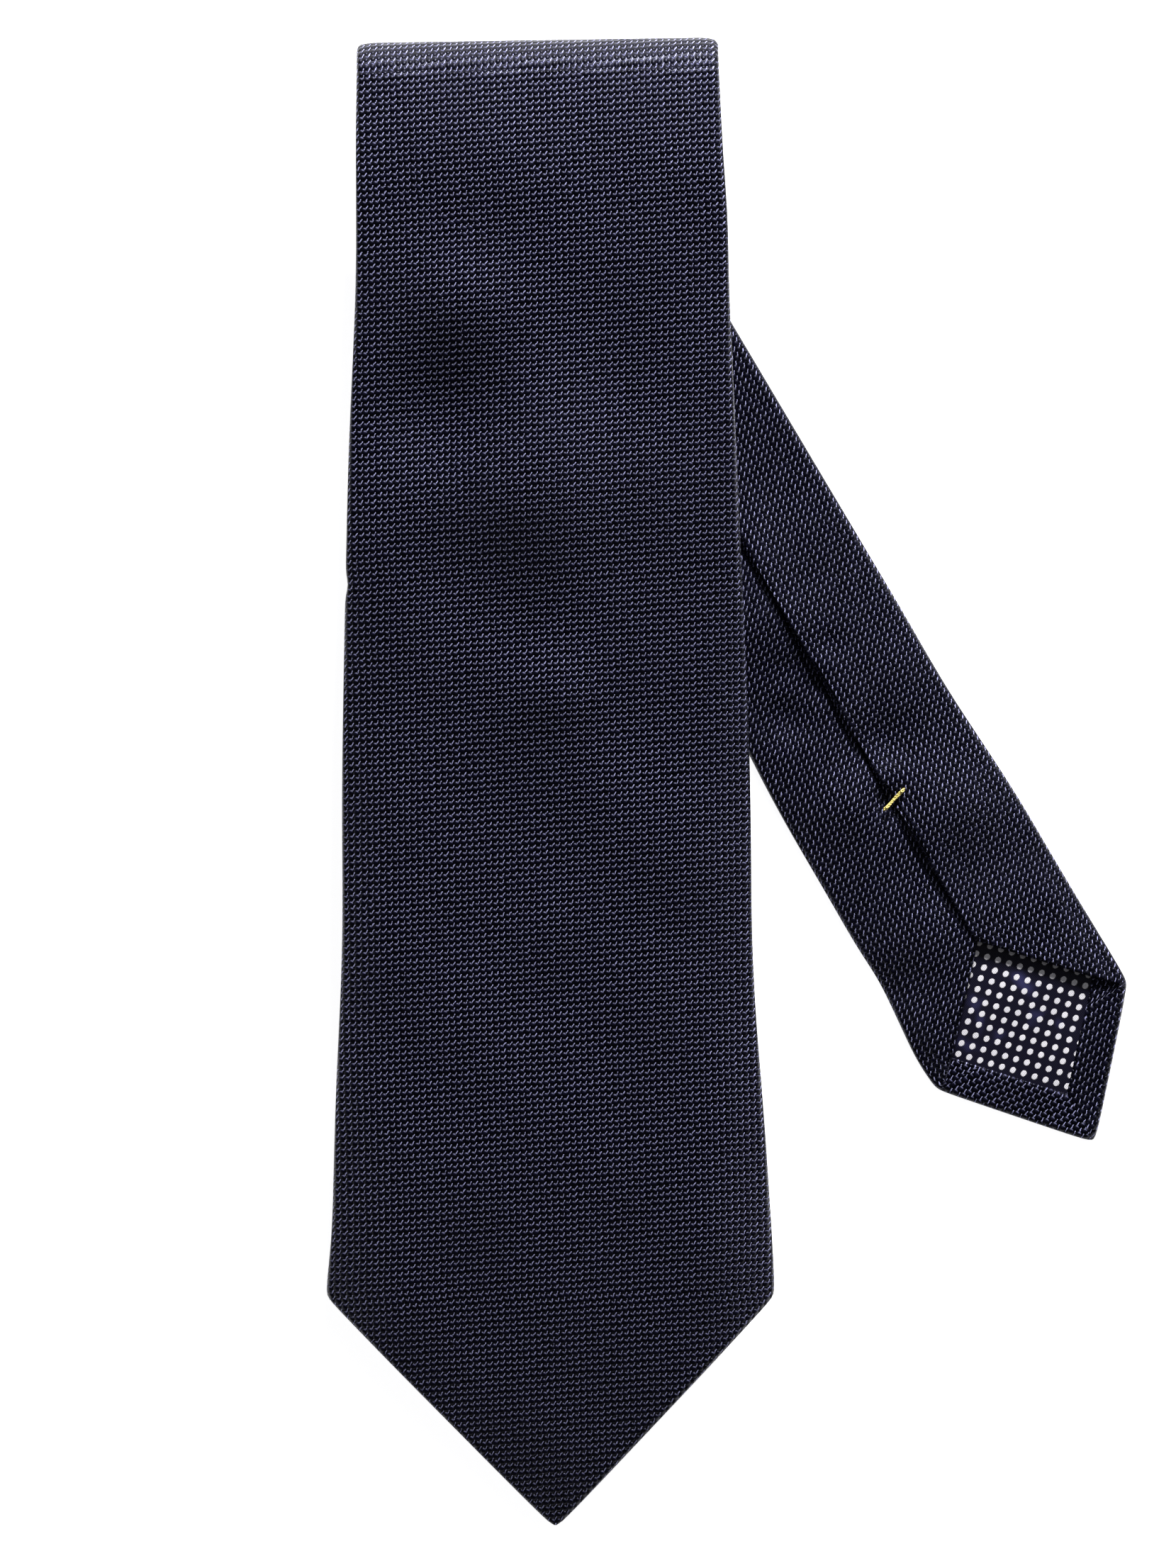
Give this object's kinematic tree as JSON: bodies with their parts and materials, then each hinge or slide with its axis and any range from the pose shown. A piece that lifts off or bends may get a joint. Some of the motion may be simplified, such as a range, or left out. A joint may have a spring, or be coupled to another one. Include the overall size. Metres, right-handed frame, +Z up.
{
  "type": "necktie",
  "caption": "Long woven silk necktie with a pointed blade and narrow tail, folded flat for display with the tail fanned out beside the blade.",
  "frame": {"origin": "middle of the folded tie's box, on the table it lies on", "axes": "+Z up from the table, +Y from the blade's point to the top fold, +X to the side where the tail fans out"},
  "size_m": [0.1428, 0.2674, 0.0228],
  "materials": {
    "shell_cloth": "dark navy silk in a knobbly grenadine weave, soft highlights on each knot",
    "interlining_wool": "unbleached brushed wool",
    "tipping_satin": "navy satin twill with a lattice of white pin dots",
    "tack_thread": "pale yellow silk thread, slightly glossy",
    "sewing_thread": "navy sewing thread",
    "label_satin": "plain woven satin label with nothing on it"
  },
  "bodies": {
    "blade": {"blade_bar_tack": "tack_thread", "blade_interlining": "interlining_wool", "blade_shell": "shell_cloth", "blade_slip_stitch": "sewing_thread", "blade_tipping": "tipping_satin", "care_label": "label_satin", "care_label_stitch_left": "sewing_thread", "care_label_stitch_right": "sewing_thread", "keeper_loop": "shell_cloth", "keeper_stitch_left": "sewing_thread", "keeper_stitch_right": "sewing_thread", "maker_label": "label_satin", "maker_label_stitch_left": "sewing_thread", "maker_label_stitch_right": "sewing_thread"},
    "top_fold": {"top_fold_interlining": "interlining_wool", "top_fold_shell": "shell_cloth", "top_fold_slip_stitch": "sewing_thread"},
    "fold_2": {"blade_shell_fold_2": "shell_cloth", "interlining_2": "interlining_wool", "slip_stitch_2": "sewing_thread"},
    "fold_3": {"blade_shell_fold_3": "shell_cloth", "blade_to_neck_seam": "sewing_thread", "interlining_3": "interlining_wool", "neck_shell_fold_3": "shell_cloth", "slip_stitch_3": "sewing_thread"},
    "fold_4": {"interlining_4": "interlining_wool", "neck_shell_fold_4": "shell_cloth", "slip_stitch_4": "sewing_thread"},
    "fold_5": {"interlining_5": "interlining_wool", "neck_shell_fold_5": "shell_cloth", "neck_to_tail_seam": "sewing_thread", "slip_stitch_5": "sewing_thread", "tail_shell_fold_5": "shell_cloth"},
    "tail": {"tail_bar_tack": "tack_thread", "tail_interlining": "interlining_wool", "tail_shell": "shell_cloth", "tail_slip_stitch": "sewing_thread", "tail_tipping": "tipping_satin"}
  },
  "joints": [
    {"name": "blade_top_crease", "type": "hinge", "parent": "blade", "child": "top_fold", "pos_m": [-0.03408, 0.13187, 0.02165], "axis": [0.9999, 0.0157, 0.0003], "range_deg": [0, 89]},
    {"name": "top_fold_crease", "type": "hinge", "parent": "top_fold", "child": "fold_2", "pos_m": [-0.03408, 0.13201, 0.01325], "axis": [0.9999, 0.0157, 0.0003], "range_deg": [0, 89]},
    {"name": "second_crease", "type": "hinge", "parent": "fold_2", "child": "fold_3", "pos_m": [-0.02951, -0.1033, 0.00796], "axis": [-0.9997, -0.0253, -0.0004], "range_deg": [0, 180]},
    {"name": "third_crease", "type": "hinge", "parent": "fold_3", "child": "fold_4", "pos_m": [-0.0368, 0.13035, 0.00917], "axis": [0.9999, 0.0124, 0.0002], "range_deg": [0, 180]},
    {"name": "fourth_crease", "type": "hinge", "parent": "fold_4", "child": "fold_5", "pos_m": [-0.0383, -0.10271, 0.00257], "axis": [-1, -0.0084, -0.0001], "range_deg": [0, 180]},
    {"name": "tail_crease", "type": "hinge", "parent": "fold_5", "child": "tail", "pos_m": [-0.04357, 0.1252, 0.00312], "axis": [0.9635, 0.2678, 0], "range_deg": [0, 182]}
  ],
  "couplings": [
    {"joint": "top_fold_crease", "follows": "blade_top_crease", "ratio": 1}
  ]
}
